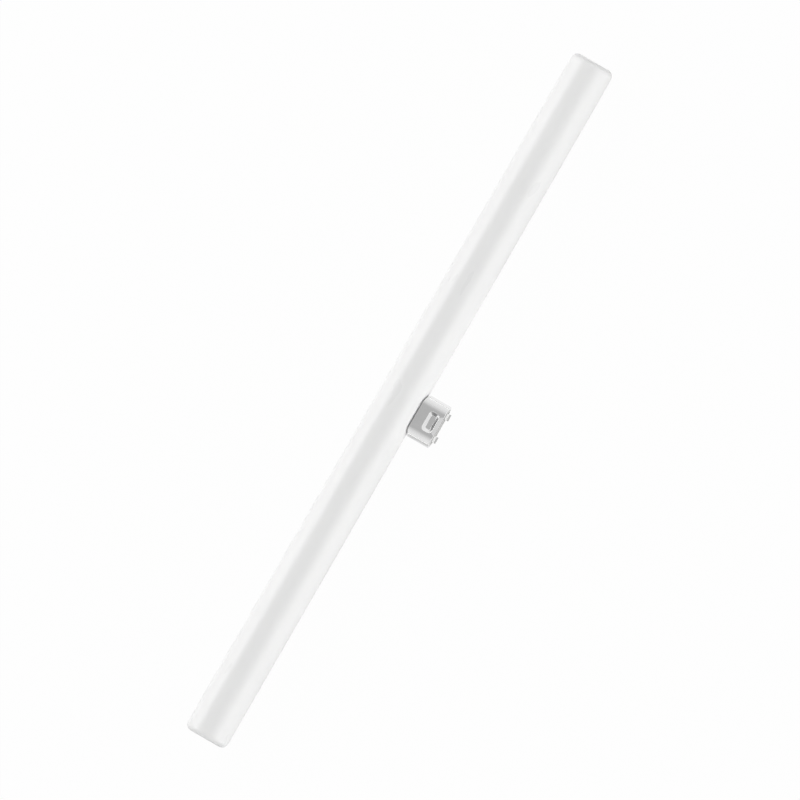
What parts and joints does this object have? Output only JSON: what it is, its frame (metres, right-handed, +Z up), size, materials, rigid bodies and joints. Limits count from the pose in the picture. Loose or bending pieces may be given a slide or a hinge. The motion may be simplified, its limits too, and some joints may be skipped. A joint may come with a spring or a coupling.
{
  "type": "tubular light bulb",
  "caption": "Straight opal tube lamp whose oblong metal cap at its middle has latch recesses for a sprung holder and folded strip contacts on its end.",
  "frame": {"origin": "on the floor, under the middle of the lamp's outer box as it lies", "axes": "+X along the tube, -Y the side that the cap points to, turned down until its edge lies on the floor, +Z up"},
  "size_m": [0.5, 0.0478, 0.0295],
  "materials": {
    "opal_tube": "satin opal white",
    "cap_shell": "satin, drawn",
    "contact_carrier": "moulded, matt",
    "contacts": "nickel plated"
  },
  "bodies": {
    "root": {"opal_tube": "opal_tube", "cap_shell": "cap_shell", "contact_carrier": "contact_carrier", "contact_left": "contacts", "contact_right": "contacts"}
  },
  "joints": []
}
